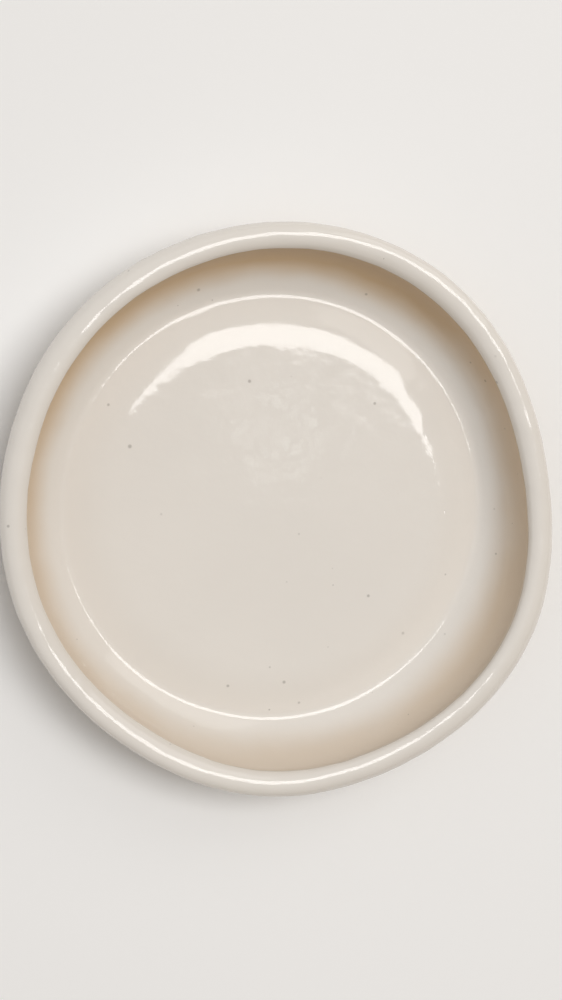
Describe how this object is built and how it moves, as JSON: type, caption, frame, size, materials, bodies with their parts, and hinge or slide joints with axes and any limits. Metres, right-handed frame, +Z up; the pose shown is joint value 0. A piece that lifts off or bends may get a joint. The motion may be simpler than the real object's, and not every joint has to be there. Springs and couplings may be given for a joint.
{
  "type": "shallow round bonsai dish",
  "caption": "Shallow round hand-built stoneware dish with a thick rolled lip, a hollow cove and a foot ring, glazed ivory white.",
  "frame": {"origin": "on the table, under the middle of the floor, at the centre of the crease circle", "axes": "+Z up out of the dish; +X and +Y lie in the table plane, with the rim's widest direction about 25 degrees from +Y towards -X"},
  "size_m": [0.1134, 0.1163, 0.0205],
  "materials": {
    "bare_clay": "unglazed fired stoneware, matt and slightly gritty",
    "ivory_glaze": "glossy ivory white glaze with a few dark iron specks"
  },
  "bodies": {
    "root": {"floor_slab": "bare_clay", "wall_ring": "bare_clay", "lip_coil": "bare_clay", "cove_coil": "bare_clay", "foot_ring": "bare_clay", "glaze_coat": "ivory_glaze"}
  },
  "joints": []
}
